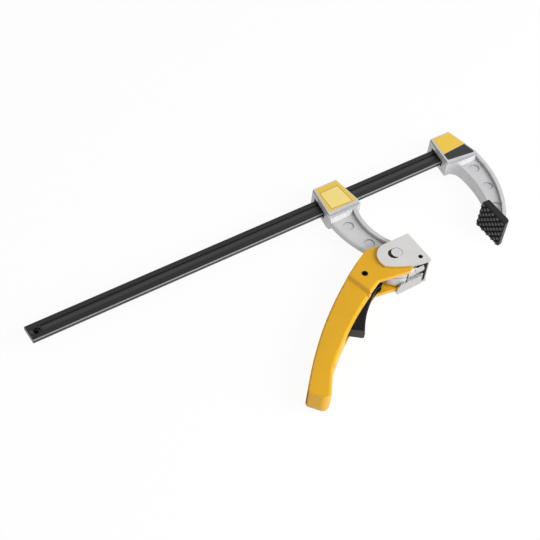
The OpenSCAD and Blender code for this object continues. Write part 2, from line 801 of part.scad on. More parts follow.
module ratchet_sector() color("#86868a") placed()
    at_pin() difference() {
        slab(sector_half) {
            sector_plate(sector_inner, ratchet_r - tooth_depth, 0);
            for (i = [0 : teeth - 1]) {
                from = pawl_dir + 6 - (i + 1) * tooth_step;
                polygon([
                    polar(ratchet_r - tooth_depth - 0.6, from), polar(ratchet_r, from + 0.4),
                    polar(ratchet_r, from + 0.9), polar(ratchet_r - tooth_depth - 0.6, from + tooth_step)
                ]);
            }
        }
        for (p = sector_rivets)
            translate([p[0], p[1], -arm_half]) cylinder(d = rivet_d + 2 * press_gap, h = arm_thick);
    }

module ratchet_rivets() color("#9a9a9c") placed()
    at_pin() for (p = sector_rivets) translate([p[0], p[1], 0]) pin_with_bevels(rivet_d / 2, arm_half, 0.3);

module spring_anchor_pin() color("#9a9a9c") placed()
    at_pin() translate([spring_from - anchor_d / 2 - 0.2, spring_y, 0]) pin_with_bevels(anchor_d / 2, arm_half, 0.2);

// ---------------------------------------------------------------- lever

// The handle between its two big arcs, with round edges: both arcs are true revolved bodies.
module handle_body(half, top_r, low_r)
    intersection() {
        translate([back_c[0], back_c[1], 0]) rotate([0, 0, 100]) rotate_extrude(angle = 60, $fn = 360)
            rounded_right([handle_back_r - 70, -half], [handle_back_r, half], top_r);
        translate([under_c[0], under_c[1], 0]) rotate([0, 0, 100]) rotate_extrude(angle = 60, $fn = 360)
            rounded_left([handle_under_r, -half], [handle_under_r + 70, half], low_r);
    }

module rounded_right(low, high, r)
    difference() {
        rect(low, high);
        corner(low, [high[0], low[1]], high, r);
        corner([high[0], low[1]], high, [low[0], high[1]], r);
    }

module rounded_left(low, high, r)
    difference() {
        rect(low, high);
        corner([high[0], low[1]], low, [low[0], high[1]], r);
        corner(low, [low[0], high[1]], high, r);
    }

module ear_shape() {
    heel = back_start + polar(6, 210);
    low_end = ear_tip + polar(50, ear_low_dir);
    lobe_top = lobe + [0, lobe_r - 0.5];
    difference() {
        polygon([heel, ear_top, lobe_top, lobe, [ear_nose[0], 0], ear_nose, ear_tip, low_end]);
        corner(heel, ear_top, lobe_top, 6);
        corner(ear_nose, ear_tip, low_end, 1.5);
    }
    translate(lobe) circle(lobe_r, $fn = 120);
    circle(boss_r, $fn = 96);
}

module lever_end_waste() {
    across(back_end, end_dir, [[0, -far], [far, -far], [far, far], [0, far]]);
    both_sides() edge_waste(end_low, back_end, grip_half, end_edge);
    slab(far) {
        corner(back_start, back_end, end_low, end_round);
        corner(back_end, end_low, neck, flare_round);
    }
}

// The flare at the end of the grip, down to its rounded edges.
module handle_flare() {
    past = polar(4, end_dir);
    inner = back_end + polar(root_depth / 3, end_dir + 90);
    difference() {
        slab(grip_half) polygon([
            neck + towards(end_low, neck) * 2, end_low + past, inner + past, neck + towards(neck, back_start) * 6
        ]);
        both_sides() edge_waste(neck + towards(end_low, neck) * 9, end_low + past, grip_half, grip_round);
    }
}

// The channel inside the back wall, up to a distance from the step or from the handle's root.
module channel_shape(from, dir, length)
    intersection() {
        translate(back_c) circle(handle_back_r - back_wall, $fn = 360);
        translate(from) rotate(dir) rect([-far, -far], [length, far]);
    }

// The throat round the hub and the room that the arm needs when the lever is closed.
module throat_shape() {
    circle(throat_r, $fn = 180);
    rotate(lever_turn) translate(slide_back_c - pin) circle(slide_back_r + 1.2, $fn = 360);
}

module lever() color("#e2ae32") placed()
    at_pin() difference() {
        union() {
            intersection() {
                handle_body(ear_half, back_round, 3);
                across(step_start, step_dir, [[ear_join, -far], [step_length, -far], [step_length, far], [ear_join, far]]);
            }
            intersection() {
                handle_body(grip_half, back_round, grip_round);
                across(step_start, step_dir, [[step_length - 2, -far], [far, -far], [far, far], [step_length - 2, far]]);
            }
            handle_flare();
            slab(ear_half) ear_shape();
        }
        both_sides() across(step_start, step_dir, [
            [0, ear_half], [step_length, grip_half], [step_length + cut, grip_half], [step_length + cut, far], [0, far]
        ]);
        slab(ear_inner) {
            channel_shape(step_start, step_dir, 0);
            throat_shape();
        }
        slab(grip_channel) channel_shape(back_start, handle_lean, channel_length);
        // the lower ear clears the pressing head's lip
        translate([lip_from - 6, -hub_r - 6, -ear_half - cut]) cube([40, 6, ear_half]);
        lever_end_waste();
        translate([0, 0, -far / 2]) cylinder(d = main_pin_d + 2 * run_gap, h = far);
        translate([trigger_at[0], trigger_at[1], -far / 2]) cylinder(d = trigger_pin_d + 2 * press_gap, h = far);
    }

module trigger_pin() color("#2a2a2c") placed()
    at_pin() translate([trigger_at[0], trigger_at[1], 0]) pin_with_bevels(trigger_pin_d / 2, ear_half, 0.4);

module trigger_spring() color("#b8b8ba") placed()
    at_pin() translate([trigger_at[0], trigger_at[1], -ear_inner + 0.2 + spring_wire / 2])
        coil(coil_r, spring_wire, 3.5, ear_inner - spring_level - spring_wire - 0.5);

// ---------------------------------------------------------------- trigger

// The finger lever is trimmed by a revolved body, whose rounded rim is its concave finger side.
module finger_lever()
    intersection() {
        slab(finger_half) difference() {
            polygon([
                trigger_at + [-knuckle_r, 0], trigger_inner, trigger_tip, finger_end + [5.3, -4.1],
                finger_top + [0.5, -3], finger_top + [0.5, 12]
            ]);
            corner(trigger_at + [-knuckle_r, 0], trigger_inner, trigger_tip, 2);
        }
        translate([finger_c[0], finger_c[1], 0]) rotate([0, 0, 100]) rotate_extrude(angle = 60, $fn = 360)
            rounded_left([finger_r, -finger_half], [finger_r + 60, finger_half], finger_round);
    }

module trigger() color("#2f2f31") placed()
    at_pin() difference() {
        union() {
            finger_lever();
            slab(finger_half) difference() {
                polygon(concat([finger_top + [0, 12], finger_top], toe));
                corner(toe[0], toe[1], toe[2], 1);
            }
            slab(trigger_half) translate(trigger_at) circle(knuckle_r, $fn = 96);
        }
        translate([trigger_at[0], trigger_at[1], -far / 2]) cylinder(d = trigger_pin_d + 2 * run_gap, h = far);
        translate([trigger_at[0], trigger_at[1], -far - spring_level]) cylinder(r = knuckle_r + 1.5, h = far);
        translate([pawl_back - press_gap, pawl_low - 10, -sector_half - press_gap])
            cube([40, pawl_top - pawl_low + 10 + press_gap, ratchet_thick + 2 * press_gap]);
        translate([pawl_rivet_at[0], pawl_rivet_at[1], -far / 2]) cylinder(d = rivet_d + 2 * press_gap, h = far);
    }

module pawl() color("#8f8f93") placed()
    at_pin() difference() {
        slab(sector_half) polygon([
            polar(pawl_r, pawl_dir), [-33.5, pawl_top], [pawl_back, pawl_top], [pawl_back, pawl_low],
            [-31, pawl_low], [-28.8, -16.6]
        ]);
        translate([pawl_rivet_at[0], pawl_rivet_at[1], -far / 2]) cylinder(d = rivet_d + 2 * press_gap, h = far);
    }

module pawl_rivet() color("#9a9a9c") placed()
    at_pin() translate([pawl_rivet_at[0], pawl_rivet_at[1], 0]) pin_with_bevels(rivet_d / 2, finger_half, 0.3);

// ---------------------------------------------------------------- pressing head

module plate_shape() {
    round_c = [-5.5, -2];
    round_r = head_top_y - round_c[1];
    low_left = [-22.2, -8.5];
    low_right = [press_front - 3, -25.4];
    edge_c = centre_of(low_left, low_right, 80, 1);
    difference() {
        intersection() {
            union() {
                translate(round_c) circle(round_r, $fn = 120);
                rect([round_c[0], -40], [press_front, head_top_y]);
                polygon([low_left, round_c, [round_c[0], -40], [low_left[0], -40]]);
            }
            translate(edge_c) circle(80, $fn = 240);
        }
        corner([press_front, head_top_y], [press_front, -25.4], low_left + [0, -12], 3);
    }
}

module lower_plate_shape() {
    plate_shape();
    rect([lip_from, lip_face], [lip_to, 0]);
}

// The lip is the lower plate's edge, folded up past the hub; its free corner is round.
module lip() translate([0, lip_face + lip_thick, 0]) rotate([90, 0, 0]) linear_extrude(lip_thick) difference() {
    rect([lip_from, -pad_half], [lip_to, lip_top]);
    corner([lip_from, -pad_half], [lip_from, lip_top], [lip_to, lip_top], 4);
}

module pin_slot(grow)
    union() {
        circle(r = main_pin_d / 2 + grow, $fn = 96);
        translate([-press_travel, 0]) circle(r = main_pin_d / 2 + grow, $fn = 96);
        rect([-press_travel, -main_pin_d / 2 - grow], [0, main_pin_d / 2 + grow]);
    }

module pressing_bracket() color("#d7d6d2") placed()
    at_pin() difference() {
        union() {
            translate([0, 0, plate_inner]) linear_extrude(plate_thick) plate_shape();
            translate([0, 0, -pad_half]) linear_extrude(plate_thick) lower_plate_shape();
            slab(pad_half) rect([press_front - plate_thick, -23], [press_front, head_top_y]);
            lip();
        }
        both_sides() edge_waste([press_front, -40], [press_front, 30], pad_half, 1.2);
        slab(far) pin_slot(0.2);
        translate([head_pin_at[0], head_pin_at[1], -far / 2]) cylinder(d = head_pin_d + 2 * press_gap, h = far);
    }

// The block seen along x: a round nose above a flat step at its outer end.
module block_section() {
    rect([nose_mid - 0.2, -block_half], [head_top_y - 0.5, block_half]);
    nose_section(block_half, shoe_half);
}

module nose_section(high, low) {
    translate([nose_mid, high - nose_r]) circle(nose_r, $fn = 96);
    rounded([[step_low, -low], [step_high, -low], [step_high, step_top], [step_low, step_top]], 0.8);
}

module pressure_block() color("#d0d0d2") placed()
    at_pin() difference() {
        union() {
            run_x(block_back, block_front) block_section();
            // the nose runs on between the ears, below the hub's notch
            run_x(nose_from, block_back + cut) intersection() {
                nose_section(ear_inner - pass_gap, ear_inner - pass_gap);
                rect([-far, -far], [hub_notch[1] - pass_gap, far]);
            }
        }
        translate([block_back - cut, spring_y, 0]) rotate([0, 90, 0])
            cylinder(d = return_spring_d + 2 * pass_gap, h = spring_to - block_back + cut + anchor_d + 0.6);
        translate([spring_to + anchor_d / 2 + 0.2, spring_y, -far / 2])
            cylinder(d = anchor_d + 2 * press_gap, h = far);
        translate([head_pin_at[0], head_pin_at[1], -far / 2]) cylinder(d = head_pin_d + 2 * press_gap, h = far);
    }

module head_shoe() color("#28282a") placed()
    at_pin() difference() {
        union() {
            slab(shoe_half) rect([block_front + 0.2, step_low], [shoe_front, head_top_y - 0.5]);
            translate([0, 0, block_half + pass_gap]) linear_extrude(shoe_thick)
                rect([block_back, step_low], [shoe_front, head_top_y - 0.5]);
            translate([0, 0, -shoe_half]) linear_extrude(shoe_thick)
                rect([block_back, step_high + pass_gap], [shoe_front, head_top_y - 0.5]);
        }
        translate([head_pin_at[0], head_pin_at[1], -far / 2]) cylinder(d = head_pin_d + 2 * press_gap, h = far);
    }

module head_pin() color("#232325") placed()
    at_pin() translate([head_pin_at[0], head_pin_at[1], 0]) difference() {
        pin_with_bevels(head_pin_d / 2, pad_half - 0.1, 0.4);
        translate([0, 0, -far / 2]) cylinder(d = head_pin_d * 0.4, h = far);
    }

module head_spring_pin() color("#9a9a9c") placed()
    at_pin() translate([spring_to + anchor_d / 2 + 0.2, spring_y, 0])
        pin_with_bevels(anchor_d / 2, block_half, 0.2);

module return_spring() color("#b8b8ba") placed()
    at_pin() translate([spring_from + return_wire / 2, spring_y, 0]) rotate([0, 90, 0])
        coil((return_spring_d - return_wire) / 2, return_wire, 13, spring_to - spring_from - return_wire);

bar();
bar_stop_pin();
fixed_jaw();
fixed_jaw_pins();
fixed_mouth_liner();
fixed_label();
fixed_pad();
sliding_jaw();
sliding_label();
front_guide();
rear_guide();
grip_pins();
main_pin();
pivot_washers();
ratchet_sector();
ratchet_rivets();
spring_anchor_pin();
lever();
trigger_pin();
trigger_spring();
trigger();
pawl();
pawl_rivet();
pressing_bracket();
pressure_block();
head_shoe();
head_pin();
head_spring_pin();
return_spring();
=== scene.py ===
import bpy
import json
import math
from mathutils import Matrix, Vector


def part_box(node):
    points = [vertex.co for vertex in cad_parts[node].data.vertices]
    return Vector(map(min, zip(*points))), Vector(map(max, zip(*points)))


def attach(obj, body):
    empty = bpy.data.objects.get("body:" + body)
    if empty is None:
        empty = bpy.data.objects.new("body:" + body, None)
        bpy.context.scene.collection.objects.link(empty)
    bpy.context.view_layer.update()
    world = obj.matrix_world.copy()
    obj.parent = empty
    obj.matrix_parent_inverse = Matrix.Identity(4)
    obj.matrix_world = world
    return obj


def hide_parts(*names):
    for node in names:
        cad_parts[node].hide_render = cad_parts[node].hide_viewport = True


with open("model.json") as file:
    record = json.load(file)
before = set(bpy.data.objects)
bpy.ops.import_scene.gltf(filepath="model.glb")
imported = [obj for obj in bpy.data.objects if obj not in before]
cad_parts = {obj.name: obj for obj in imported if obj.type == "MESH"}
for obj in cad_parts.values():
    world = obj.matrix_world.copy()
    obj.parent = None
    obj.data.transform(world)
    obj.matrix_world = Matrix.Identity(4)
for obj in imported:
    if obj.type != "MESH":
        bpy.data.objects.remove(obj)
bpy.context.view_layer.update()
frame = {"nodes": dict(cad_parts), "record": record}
nodes = frame["nodes"]
bodyOf = {node: body for body, members in frame["record"]["behaviour"]["bodies"].items() for node in members}
slotOf = {part["node"]: part["material_slot"] for part in frame["record"]["subparts"]}
mm = 0.001
print("frame loaded:", len(nodes), "nodes")

# The clamp is drawn from its bar: x from the bar's free end, y across, z from mid thickness.
barLow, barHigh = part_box("bar")
barStart = Vector((barLow.x, (barLow.y + barHigh.y) / 2, (barLow.z + barHigh.z) / 2))


def atBar(x, y, z=0):
    return barStart + Vector((x, y, z)) * mm


pinLow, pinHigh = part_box("main_pin")
mainPin = ((pinLow + pinHigh) / 2 - barStart) / mm

# materials

class Pattern:
    # A socket that can be added, multiplied and so on, as plain numbers are.
    def __init__(self, tree, socket):
        self.tree = tree
        self.socket = socket

    def maths(self, operation, first, second=None):
        node = self.tree.nodes.new("ShaderNodeMath")
        node.operation = operation
        for place, value in zip(node.inputs, (first, second)):
            if isinstance(value, Pattern):
                self.tree.links.new(value.socket, place)
            elif value is not None:
                place.default_value = value
        return Pattern(self.tree, node.outputs[0])

    def __add__(self, other):
        return self.maths("ADD", self, other)

    def __mul__(self, other):
        return self.maths("MULTIPLY", self, other)

    def __sub__(self, other):
        return self.maths("SUBTRACT", self, other)

    def __rsub__(self, other):
        return self.maths("SUBTRACT", other, self)

    __radd__ = __add__
    __rmul__ = __mul__

    def distance(self):
        return self.maths("ABSOLUTE", self)

    def lower(self, other):
        return self.maths("MINIMUM", self, other)

    def higher(self, other):
        return self.maths("MAXIMUM", self, other)

    def clamped(self):
        return self.higher(0).lower(1)

    def inside(self, blur):
        # 1 where the value is above nothing, 0 below it, with a soft step between
        return (self * (0.5 / blur) + 0.5).clamped()

    def swing(self, share):
        # a pattern from 0 to 1 as half the share either side of nothing
        return (self - 0.5) * share


class Finish:
    # A material with one Principled shader; add() makes any other node.
    def __init__(self, name, **fixed):
        self.material = bpy.data.materials.new(name)
        self.material.use_nodes = True
        self.tree = self.material.node_tree
        self.shader = next(n for n in self.tree.nodes if n.type == "BSDF_PRINCIPLED")
        for socket, value in fixed.items():
            self.shader.inputs[socket.replace("_", " ")].default_value = value
        self.place = self.add("ShaderNodeTexCoord", output="Object")

    def add(self, kind, settings=None, output=0, **inputs):
        node = self.tree.nodes.new(kind)
        for key, value in (settings or {}).items():
            setattr(node, key, value)
        for key, value in inputs.items():
            found = [s for s in node.inputs if s.name == key.replace("_", " ") and s.enabled]
            if isinstance(value, Pattern):
                self.tree.links.new(value.socket, found[0])
            else:
                found[0].default_value = value
        return Pattern(self.tree, node.outputs[output])

    def noise(self, scale, detail=2.0, rough=0.5, stretch=(1, 1, 1)):
        along = self.add("ShaderNodeMapping", Vector=self.place, Scale=stretch)
        return self.add("ShaderNodeTexNoise", Vector=along, Scale=scale, Detail=detail, Roughness=rough)

    def barAxes(self):
        # x, y and z from the bar's free end, in millimetres
        node = self.tree.nodes.new("ShaderNodeSeparateXYZ")
        self.tree.links.new(self.place.socket, node.inputs[0])
        return [(Pattern(self.tree, socket) - start) * 1000 for socket, start in zip(node.outputs, barStart)]

    def mixed(self, factor, first, second):
        node = self.tree.nodes.new("ShaderNodeMix")
        node.data_type = "RGBA"
        for place, value in ((node.inputs[0], factor), (node.inputs[6], first), (node.inputs[7], second)):
            if isinstance(value, Pattern):
                self.tree.links.new(value.socket, place)
            else:
                place.default_value = value
        return Pattern(self.tree, node.outputs[2])

    def drive(self, **sockets):
        for key, value in sockets.items():
            self.tree.links.new(value.socket, self.shader.inputs[key.replace("_", " ")])

    def bump(self, height, strength, depth):
        self.drive(Normal=self.add("ShaderNodeBump", Height=height, Strength=strength, Distance=depth))


def rgb(red, green, blue):
    return (red, green, blue, 1.0)


def side(x, y, start, end):
    # distance to the right of the line from start to end
    run, rise = end[0] - start[0], end[1] - start[1]
    length = math.hypot(run, rise)
    return (x - start[0]) * (rise / length) - (y - start[1]) * (run / length)


castLook = {"light": rgb(0.60, 0.60, 0.61), "shade": rgb(0.50, 0.50, 0.51), "metal": 0.35,
            "grain": 1400, "cloud": 38, "rough": 0.42, "roughGrain": 0.18, "roughCloud": 0.12,
            "pebble": 420, "pebbleShare": 0.8, "relief": 0.35, "reliefDepth": 0.00012,
            "cornerShade": rgb(0.20, 0.20, 0.205), "cornerShadeReach": 0.003, "cornerShadeFrom": 0.78, "cornerShadeGain": 2.2}


def castSilver():
    look = castLook
    finish = Finish("castSilver", Metallic=look["metal"])
    grain = finish.noise(look["grain"], 3, 0.6)
    cloud = finish.noise(look["cloud"], 3, 0.55)
    openness = finish.add("ShaderNodeAmbientOcclusion", {"samples": 8, "only_local": True}, 1,
                          Distance=look["cornerShadeReach"])
    clean = finish.mixed((cloud - 0.35) * 1.6 + grain * 0.2 - 0.1, look["light"], look["shade"])
    # painted shade: the colour darkens towards the dark grey in corners and recesses that the occlusion
    # finds close by
    shadedCorners = ((look["cornerShadeFrom"] - openness) * look["cornerShadeGain"]).clamped()
    finish.drive(Base_Color=finish.mixed(shadedCorners, clean, look["cornerShade"]),
                 Roughness=look["rough"] + grain.swing(look["roughGrain"]) + cloud.swing(look["roughCloud"]))
    pebble = finish.noise(look["pebble"], 2)
    finish.bump(grain + pebble * look["pebbleShare"], look["relief"], look["reliefDepth"])
    return finish.material


leverLook = {"face": rgb(0.70, 0.375, 0.006), "warm": rgb(0.65, 0.33, 0.006), "cloud": 26, "peel": 900,
             "rough": 0.38, "roughCloud": 0.14, "roughPeel": 0.08, "relief": 0.3, "reliefDepth": 0.0001,
             # painted shade on the slope between the ears and the grip, on both broad faces
             "slope": rgb(0.46, 0.215, 0.006), "slopeFrom": (305.5, -100.5), "slopeTo": (312.8, -129.6),
             "slopeHalf": 1.7, "slopeBlur": 2.0, "faceHeight": 11}


def leverYellow():
    look = leverLook
    finish = Finish("leverYellow", Specular_IOR_Level=0.42)
    cloud = finish.noise(look["cloud"], 3, 0.5)
    peel = finish.noise(look["peel"], 2, 0.5)
    x, y, z = finish.barAxes()
    fromLine = side(x, y, look["slopeFrom"], look["slopeTo"]).distance()
    onFace = (z.distance() - look["faceHeight"]).inside(0.5)
    # painted shade: the band along the slope takes the darker slope colour
    onShadedSlope = (look["slopeHalf"] - fromLine).inside(look["slopeBlur"]) * onFace
    coat = finish.mixed((cloud - 0.3) * 1.5, look["face"], look["warm"])
    finish.drive(Base_Color=finish.mixed(onShadedSlope, coat, look["slope"]),
                 Roughness=look["rough"] + cloud.swing(look["roughCloud"]) + peel.swing(look["roughPeel"]))
    finish.bump(peel, look["relief"], look["reliefDepth"])
    return finish.material


barShape = {"length": 531, "width": 20, "thick": 5, "edge": 1.3, "lowerEdge": 0.4, "edgeSteps": 5,
            "grooveFrom": 14.2, "grooveTo": 520, "grooveHalf": 3.7, "wall": 0.9, "hollow": 0.35, "strips": 8,
            "dentAt": (8.5, -1.0), "dentRadius": 3.8, "dentDepth": 1.5, "cutter": 4, "rim": 0.12}
barLook = {"face": rgb(0.007, 0.007, 0.008), "worn": rgb(0.016, 0.016, 0.018),
           "groove": rgb(0.036, 0.036, 0.039), "edgeHighlight": rgb(0.30, 0.30, 0.305),
           "shadow": rgb(0.001, 0.001, 0.001), "glint": rgb(0.055, 0.055, 0.06),
           "drawn": 260, "stretch": (0.03, 1, 1), "cloud": 16, "rough": 0.26, "roughDrawn": 0.16,
           "relief": 0.2, "reliefDepth": 0.00006, "grooveSheenHalf": 2.2, "edgeHighlightFrom": (9.1, 1.4),
           "lines": ((3.5, 0.7), (8.3, 0.6)), "lineShare": 0.85,  # y and half width of each dark line
           "pitAt": (8.3, -2.0), "pitSize": 3.2, "glintAt": (3.2, 0.3), "glintSize": 1.9}


def barBlack():
    look = barLook
    finish = Finish("barBlack", Specular_IOR_Level=0.32)
    drawn = finish.noise(look["drawn"], 3, 0.6, look["stretch"])
    cloud = finish.noise(look["cloud"], 3, 0.6)
    x, y, z = finish.barAxes()
    face = finish.mixed((drawn - 0.45) * 1.6 + cloud.swing(0.8), look["face"], look["worn"])
    # the groove's floor is smoother, and its greyer colour is a painted sheen
    pressed = (look["grooveSheenHalf"] - y.distance()).inside(1.4) * (x - barShape["grooveFrom"]).inside(0.3)
    face = finish.mixed(pressed * (0.6 + drawn * 0.6), face, look["groove"])
    # painted shade in the groove's corners and along the edges
    inLine = [(half - (y.distance() - spot).distance()).inside(0.4) for spot, half in look["lines"]]
    face = finish.mixed(inLine[0].higher(inLine[1]) * look["lineShare"], face, look["shadow"])
    # painted highlight on a small disc beside the dent, and painted shadow on the disc in it
    for spot, size, tone in (("glintAt", "glintSize", "glint"), ("pitAt", "pitSize", "shadow")):
        along, across = x - look[spot][0], y - look[spot][1]
        disc = (look[size] ** 2 - (along * along + across * across)).inside(look[size]) * z.inside(0.5)
        face = finish.mixed(disc * look["lineShare"], face, look[tone])
    # painted highlight along the rounded edges that the arm slides on
    widthFrom, heightFrom = look["edgeHighlightFrom"]
    edgeHighlight = (y.distance() - widthFrom).inside(0.3) * (z.distance() - heightFrom).inside(0.3)
    finish.drive(Base_Color=finish.mixed(edgeHighlight * (0.6 + drawn * 0.5), face, look["edgeHighlight"]),
                 Roughness=look["rough"] + drawn.swing(look["roughDrawn"]))
    finish.bump(drawn, look["relief"], look["reliefDepth"])
    return finish.material


metalLook = {"grain": 700, "cloud": 60, "share": 0.9, "roughGrain": 0.2, "roughCloud": 0.1, "relief": 0.25,
             "reliefDepth": 0.00006}


def metal(name, light, shade, rough, drawn=(1, 1, 1)):
    look = metalLook
    finish = Finish(name, Metallic=1.0)
    grain = finish.noise(look["grain"], 3, 0.6, drawn)
    cloud = finish.noise(look["cloud"], 3, 0.5)
    patches = (grain - 0.4) * look["share"] + cloud.swing(look["share"])
    finish.drive(Base_Color=finish.mixed(patches, light, shade),
                 Roughness=rough + grain.swing(look["roughGrain"]) + cloud.swing(look["roughCloud"]))
    finish.bump(grain, look["relief"], look["reliefDepth"])
    return finish.material


padLook = {"body": rgb(0.016, 0.016, 0.017), "deep": rgb(0.004, 0.004, 0.005),
           "scuffAndSheen": rgb(0.13, 0.13, 0.135), "end": rgb(0.075, 0.075, 0.076),
           "grain": 1200, "rough": 0.6, "roughGrain": 0.2, "relief": 0.4, "reliefDepth": 0.0001,
           # x of the knobs' tops, then depths below them, and y of the end face
           "faceAt": 489.8, "knobTop": 0.35, "gapFrom": 0.8, "endFrom": 2.6, "gapTo": 3.2, "endAt": -125.95}


def padRubber():
    look = padLook
    finish = Finish("padRubber", Specular_IOR_Level=0.2)
    grain = finish.noise(look["grain"], 2, 0.55)
    x, y, z = finish.barAxes()
    depth = x - look["faceAt"]
    # painted shade in the gaps between the knobs
    inGap = (depth - look["gapFrom"]).inside(0.4) * (look["gapTo"] - depth).inside(0.3)
    # scuffed knob tops, partly wear and partly a painted sheen
    onTop = (look["knobTop"] - depth).inside(0.3)
    # painted light: the end face is coloured lighter than the rest
    litEndFace = (look["endAt"] - y).inside(0.15) * (depth - look["endFrom"]).inside(0.3)
    tone = finish.mixed(inGap, look["body"], look["deep"])
    tone = finish.mixed(onTop * (grain + 0.4), tone, look["scuffAndSheen"])
    finish.drive(Base_Color=finish.mixed(litEndFace, tone, look["end"]),
                 Roughness=look["rough"] + grain.swing(look["roughGrain"]))
    finish.bump(grain, look["relief"], look["reliefDepth"])
    return finish.material


triggerLook = {"face": rgb(0.004, 0.004, 0.005), "worn": rgb(0.009, 0.009, 0.010),
               "end": rgb(0.052, 0.050, 0.049), "endFrom": (272.3, -152.5), "endTo": (284.2, -161.1),
               "endEdge": 0.6, "grain": 1600, "rough": 0.55, "roughGrain": 0.2, "relief": 0.4,
               "reliefDepth": 0.00008}


def triggerBlack():
    look = triggerLook
    finish = Finish("triggerBlack", Specular_IOR_Level=0.12)
    grain = finish.noise(look["grain"], 2, 0.55)
    x, y, z = finish.barAxes()
    # painted light: the end face past the edge line is coloured lighter
    beyond = side(x, y, look["endFrom"], look["endTo"]) + look["endEdge"]
    face = finish.mixed(grain, look["face"], look["worn"])
    finish.drive(Base_Color=finish.mixed(beyond.inside(0.3), face, look["end"]),
                 Roughness=look["rough"] + grain.swing(look["roughGrain"]))
    finish.bump(grain, look["relief"], look["reliefDepth"])
    return finish.material


labelLook = {"yellow": rgb(0.80, 0.53, 0.055), "deep": rgb(0.40, 0.21, 0.02), "pale": rgb(0.87, 0.68, 0.22),
             "black": rgb(0.012, 0.012, 0.014), "cloud": 60, "rough": 0.34, "roughCloud": 0.1, "blur": 0.1,
             "bandFrom": (502.2, -7.9), "bandTo": (536.3, -5.5),  # top edge of the black band
             "panel": ((347.9, 9.8), (371.3, 10.7), (372.8, -15.7), (346.2, -14.5)), "lineWidth": 0.35}


def labelFilm(name, draw):
    look = labelLook
    finish = Finish(name, Specular_IOR_Level=0.45)
    x, y, z = finish.barAxes()
    cloud = finish.noise(look["cloud"], 2)
    finish.drive(Base_Color=draw(finish, x, y), Roughness=look["rough"] + cloud.swing(look["roughCloud"]))
    return finish.material


def blackBand(finish, x, y):
    band = side(x, y, labelLook["bandFrom"], labelLook["bandTo"]).inside(labelLook["blur"])
    return finish.mixed(band, labelLook["yellow"], labelLook["black"])


def palePanel(finish, x, y):
    corners = labelLook["panel"]
    sides = [side(x, y, corners[k], corners[(k + 1) % 4]) for k in range(4)]
    depth = sides[0].lower(sides[1]).lower(sides[2]).lower(sides[3])
    border = (labelLook["lineWidth"] - depth.distance()).inside(labelLook["blur"])
    ground = finish.mixed(depth.inside(labelLook["blur"]), labelLook["yellow"], labelLook["pale"])
    return finish.mixed(border, ground, labelLook["deep"])


materials = {
    "bar_black": barBlack(),
    "cast_silver": castSilver(),
    "lever_yellow": leverYellow(),
    "plate_steel": metal("plateSteel", rgb(0.68, 0.675, 0.66), rgb(0.60, 0.595, 0.585), 0.50, (1, 0.12, 1)),
    "bright_steel": metal("brightSteel", rgb(0.66, 0.66, 0.67), rgb(0.50, 0.50, 0.51), 0.38),
    "tool_steel": metal("toolSteel", rgb(0.30, 0.30, 0.32), rgb(0.18, 0.18, 0.20), 0.36),
    "black_steel": metal("blackSteel", rgb(0.035, 0.03, 0.03), rgb(0.018, 0.017, 0.018), 0.36),
    "black_plastic": triggerBlack(),
    "pad_rubber": padRubber(),
    "label_yellow": labelFilm("fixedLabelFilm", blackBand),
}
slidingFilm = labelFilm("slidingLabelFilm", palePanel)
print("materials:", len(materials) + 1)


def lookOf(node):
    return slidingFilm if node == "sliding_label" else materials[slotOf[node]]


for node, piece in nodes.items():
    piece.data.materials.clear()
    piece.data.materials.append(lookOf(node))

# camera, floor and light

view = {"azimuth": -39.19, "elevation": 49.71, "roll": 7.63, "focal": 1316, "aim": (231.87, 62.44),
        "distance": 1264.3, "picture": 540, "sensor": 36, "near": 0.05, "far": 20}


def makeCamera():
    az, el, roll = (math.radians(view[k]) for k in ("azimuth", "elevation", "roll"))
    back = Vector((math.sin(az) * math.cos(el), -math.cos(az) * math.cos(el), math.sin(el)))
    right = Vector((math.cos(az), math.sin(az), 0))
    up = back.cross(right)
    turnedRight = right * math.cos(roll) + up * math.sin(roll)
    turnedUp = up * math.cos(roll) - right * math.sin(roll)
    spot = turnedRight * view["aim"][0] + turnedUp * view["aim"][1] + back * view["distance"]
    data = bpy.data.cameras.new("camera")
    data.sensor_width = view["sensor"]
    data.lens = view["focal"] * view["sensor"] / view["picture"]
    data.clip_start = view["near"]
    data.clip_end = view["far"]
    camera = bpy.data.objects.new("camera", data)
    bpy.context.scene.collection.objects.link(camera)
    turn = Matrix((turnedRight, turnedUp, back)).transposed().to_4x4()
    camera.matrix_world = Matrix.Translation(barStart + spot * mm) @ turn
    bpy.context.scene.camera = camera


makeCamera()


def deselect():
    for thing in bpy.context.selected_objects:
        thing.select_set(False)


studio = {"floorSize": 12, "floorDrop": 0.0002, "floorGrey": 0.95, "floorGlow": 0.94, "sky": 0.30}
lamps = {
    "keyLamp": {"spot": (0.82, -0.98, 0.80), "aim": (0, 0, 0), "size": (1.2, 1.2), "power": 22.5},
    "stripLamp": {"spot": (0.60, -1.02, 0.85), "aim": (0.60, 0.10, 0), "size": (1.5, 0.24), "power": 5},
    "topLamp": {"spot": (-0.2, 0.3, 1.5), "aim": (0, 0, 0), "size": (1.4, 1.4), "power": 3},
    "leftLamp": {"spot": (-0.75, -1.25, 0.60), "aim": (0, 0, 0), "size": (1.0, 1.0), "power": 4},
}
mirroredLamp = "stripLamp"  # it alone draws the bright lines along the edges


def seenRays(tree):
    # 1 for the camera's rays and for what metal or glass mirrors to it, 0 for the light itself
    ray = tree.nodes.new("ShaderNodeLightPath")
    seen = Pattern(tree, ray.outputs["Is Camera Ray"])
    for kind in ("Is Glossy Ray", "Is Transmission Ray"):
        seen = seen.higher(Pattern(tree, ray.outputs[kind]))
    return seen


